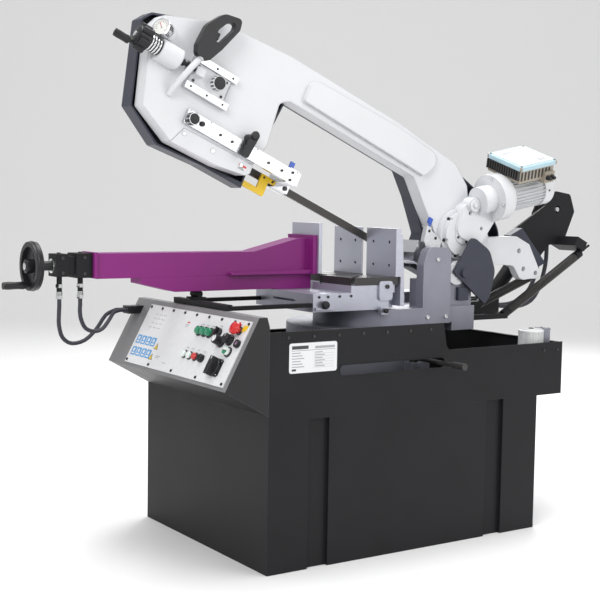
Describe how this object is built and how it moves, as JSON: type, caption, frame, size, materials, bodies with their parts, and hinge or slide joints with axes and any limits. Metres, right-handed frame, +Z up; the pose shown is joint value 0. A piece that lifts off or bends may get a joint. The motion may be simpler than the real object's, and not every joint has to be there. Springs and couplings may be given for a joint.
{
  "type": "mitring metal-cutting band saw",
  "caption": "Hydraulic bow band saw for metal with a raised pivoting bow, swivel arm for mitre cuts, sliding vise, sloping control desk and a coolant tray on a sheet-metal cabinet.",
  "frame": {"origin": "middle of the cabinet's underside, on the floor plane", "axes": "+X from the handwheel end towards the motor end along the machine's length, +Y away from the operator's long side, +Z up"},
  "size_m": [2.4663, 0.99, 1.8195],
  "materials": {
    "black_paint": "textured satin powder coat",
    "grey_paint": "satin powder coat",
    "white_paint": "satin enamel",
    "slate_paint": "satin enamel",
    "purple_paint": "gloss enamel",
    "bare_casting": "machined and cast faces",
    "machined_steel": "brushed",
    "dark_steel": "blackened",
    "blade_steel": "bimetal band",
    "black_plastic": "moulded",
    "hose_rubber": "smooth",
    "plate_film": "printed film",
    "green_plastic": "moulded",
    "red_plastic": "moulded",
    "blue_plastic": "moulded",
    "clear_plastic": "moulded",
    "pump_plastic": "moulded",
    "tan_metal": "satin enamel"
  },
  "bodies": {
    "frame": {"cabinet": "black_paint", "machine_tray": "black_paint", "control_desk": "grey_paint", "desk_plate": "plate_film", "desk_fittings": "black_plastic", "data_plate": "plate_film", "hose_gland": "black_plastic", "mitre_base": "black_paint", "table_bed": "bare_casting", "table_plates": "dark_steel", "rear_fixed_jaw": "bare_casting", "vise_support": "bare_casting", "vise_slideway": "purple_paint", "coolant_pump": "pump_plastic", "hydraulic_hoses": "hose_rubber"},
    "swivel": {"swivel_arm": "bare_casting", "hinge_pin": "machined_steel", "sector_guard": "slate_paint", "spring_anchor": "black_paint", "balance_springs": "dark_steel", "power_cables": "hose_rubber"},
    "lock_lever": {"mitre_lever": "dark_steel"},
    "front_jaw": {"front_fixed_jaw": "bare_casting"},
    "vise": {"vise_arm": "purple_paint", "moving_jaw": "bare_casting", "vise_cylinder": "black_paint"},
    "vise_wheel": {"vise_handwheel": "black_plastic"},
    "bow": {"bow_casting": "white_paint", "wheel_cover": "slate_paint", "blade_cover": "white_paint", "saw_blade": "blade_steel", "tension_gibs": "machined_steel", "tension_gauge": "machined_steel", "feed_grip": "black_plastic", "grip_tube": "white_paint", "right_guide": "machined_steel", "gearbox": "white_paint", "drive_motor": "white_paint", "inverter_box": "tan_metal", "rear_bracket": "white_paint", "limit_box": "slate_paint", "spring_yoke": "black_paint"},
    "carriage": {"tension_carriage": "white_paint"},
    "idler": {"idler_wheel": "bare_casting"},
    "tension_wheel": {"tension_handwheel": "black_plastic"},
    "driver": {"drive_wheel": "bare_casting"},
    "guide": {"guide_arm": "machined_steel"},
    "clamp_lever": {"guide_clamp": "black_plastic"},
    "trigger": {"grip_trigger": "black_plastic"},
    "coolant_tap_left": {"left_valve": "blue_plastic"},
    "coolant_tap_right": {"right_valve": "blue_plastic"},
    "barrel": {"lift_barrel": "black_paint"},
    "rod": {"lift_rod": "machined_steel"},
    "push_buttons": {"green_buttons": "green_plastic"},
    "stop": {"stop_button": "red_plastic"},
    "power_switch": {"main_switch": "black_plastic"},
    "selector": {"mode_selector": "black_plastic"},
    "speed_knob": {"speed_dial": "black_plastic"},
    "feed_knob": {"feed_dial": "black_plastic"},
    "lit_button": {"lamp_button": "clear_plastic"}
  },
  "joints": [
    {"name": "mitre_swivel", "type": "hinge", "parent": "frame", "child": "swivel", "pos_m": [0.095, 0, 0.76], "axis": [0, 0, 1], "range_deg": [-30, 45]},
    {"name": "mitre_lock", "type": "hinge", "parent": "frame", "child": "lock_lever", "pos_m": [0.118, -0.28, 0.653], "axis": [0, 0, 1], "range_deg": [-40, 0]},
    {"name": "front_jaw_slide", "type": "slide", "parent": "frame", "child": "front_jaw", "axis": [0, -1, 0], "range_m": [0, 0.12]},
    {"name": "vise_slide", "type": "slide", "parent": "frame", "child": "vise", "axis": [1, 0, 0], "range_m": [-0.25, 0.165], "deforming": ["hydraulic_hoses"]},
    {"name": "vise_screw", "type": "hinge", "parent": "vise", "child": "vise_wheel", "pos_m": [-1.165, 0.105, 0.985], "axis": [1, 0, 0], "range_deg": [-9000, 5940]},
    {"name": "bow_tilt", "type": "hinge", "parent": "swivel", "child": "bow", "pos_m": [0.415, 0, 0.947], "axis": [0, -1, 0], "range_deg": [0, 22.5], "deforming": ["balance_springs", "power_cables"]},
    {"name": "tension_screw", "type": "hinge", "parent": "bow", "child": "tension_wheel", "pos_m": [-0.89319, -0.128, 1.72045], "axis": [0.91, 0, -0.4147], "range_deg": [0, 1440]},
    {"name": "tension_slide", "type": "slide", "parent": "bow", "child": "carriage", "axis": [0.91, 0, -0.4147], "range_m": [0, 0.016]},
    {"name": "idler_spin", "type": "hinge", "parent": "carriage", "child": "idler", "pos_m": [-0.64022, 0, 1.60517], "axis": [0, 1, 0], "continuous": true},
    {"name": "drive_spin", "type": "hinge", "parent": "bow", "child": "driver", "pos_m": [0.52908, 0, 1.07229], "axis": [0, 1, 0], "continuous": true},
    {"name": "guide_slide", "type": "slide", "parent": "bow", "child": "guide", "axis": [0.91, 0, -0.4147], "range_m": [0, 0.1]},
    {"name": "guide_lock", "type": "hinge", "parent": "bow", "child": "clamp_lever", "pos_m": [-0.47993, -0.115, 1.41915], "axis": [0, 1, 0], "range_deg": [0, 60]},
    {"name": "trigger_press", "type": "slide", "parent": "bow", "child": "trigger", "axis": [-0.91, 0, 0.4147], "range_m": [0, 0.004], "stiffness_N_per_m": 600, "springref_m": -0.002},
    {"name": "left_tap", "type": "hinge", "parent": "guide", "child": "coolant_tap_left", "pos_m": [-0.28919, -0.06, 1.31683], "axis": [0.4147, 0, 0.91], "range_deg": [0, 90]},
    {"name": "right_tap", "type": "hinge", "parent": "bow", "child": "coolant_tap_right", "pos_m": [0.32205, -0.102, 1.1196], "axis": [0.4147, 0, 0.91], "range_deg": [0, 90]},
    {"name": "lift_swing", "type": "hinge", "parent": "swivel", "child": "barrel", "pos_m": [0.74, 0.03, 0.8], "axis": [0, -1, 0], "range_deg": [0, 25]},
    {"name": "lift_stroke", "type": "slide", "parent": "barrel", "child": "rod", "axis": [0.6679, 0, 0.7442], "range_m": [0, 0.14]},
    {"name": "button_press", "type": "slide", "parent": "frame", "child": "push_buttons", "axis": [0.881, 0, -0.4732], "range_m": [0, 0.003], "stiffness_N_per_m": 600, "springref_m": -0.002},
    {"name": "lit_button_press", "type": "slide", "parent": "frame", "child": "lit_button", "axis": [0.881, 0, -0.4732], "range_m": [0, 0.003], "stiffness_N_per_m": 600, "springref_m": -0.002},
    {"name": "stop_press", "type": "slide", "parent": "frame", "child": "stop", "axis": [0.881, 0, -0.4732], "range_m": [0, 0.003], "stiffness_N_per_m": 600, "springref_m": -0.002},
    {"name": "power_turn", "type": "hinge", "parent": "frame", "child": "power_switch", "pos_m": [-0.72435, -0.32, 0.6738], "axis": [-0.881, 0, 0.4732], "range_deg": [0, 90]},
    {"name": "selector_turn", "type": "hinge", "parent": "frame", "child": "selector", "pos_m": [-0.66946, -0.243, 0.77599], "axis": [-0.881, 0, 0.4732], "range_deg": [-45, 45]},
    {"name": "speed_turn", "type": "hinge", "parent": "frame", "child": "speed_knob", "pos_m": [-0.68271, -0.285, 0.75132], "axis": [-0.881, 0, 0.4732], "range_deg": [0, 270]},
    {"name": "feed_turn", "type": "hinge", "parent": "frame", "child": "feed_knob", "pos_m": [-0.67703, -0.331, 0.76189], "axis": [-0.881, 0, 0.4732], "range_deg": [0, 270]}
  ],
  "couplings": [
    {"joint": "tension_screw", "follows": "tension_slide", "rad_per_m": 1570},
    {"joint": "idler_spin", "follows": "drive_spin", "ratio": 1},
    {"joint": "lift_swing", "follows": "bow_tilt", "ratio": 1.08},
    {"joint": "lift_stroke", "follows": "bow_tilt", "m_per_rad": 0.35271},
    {"joint": "vise_screw", "follows": "vise_slide", "rad_per_m": 628.3}
  ]
}
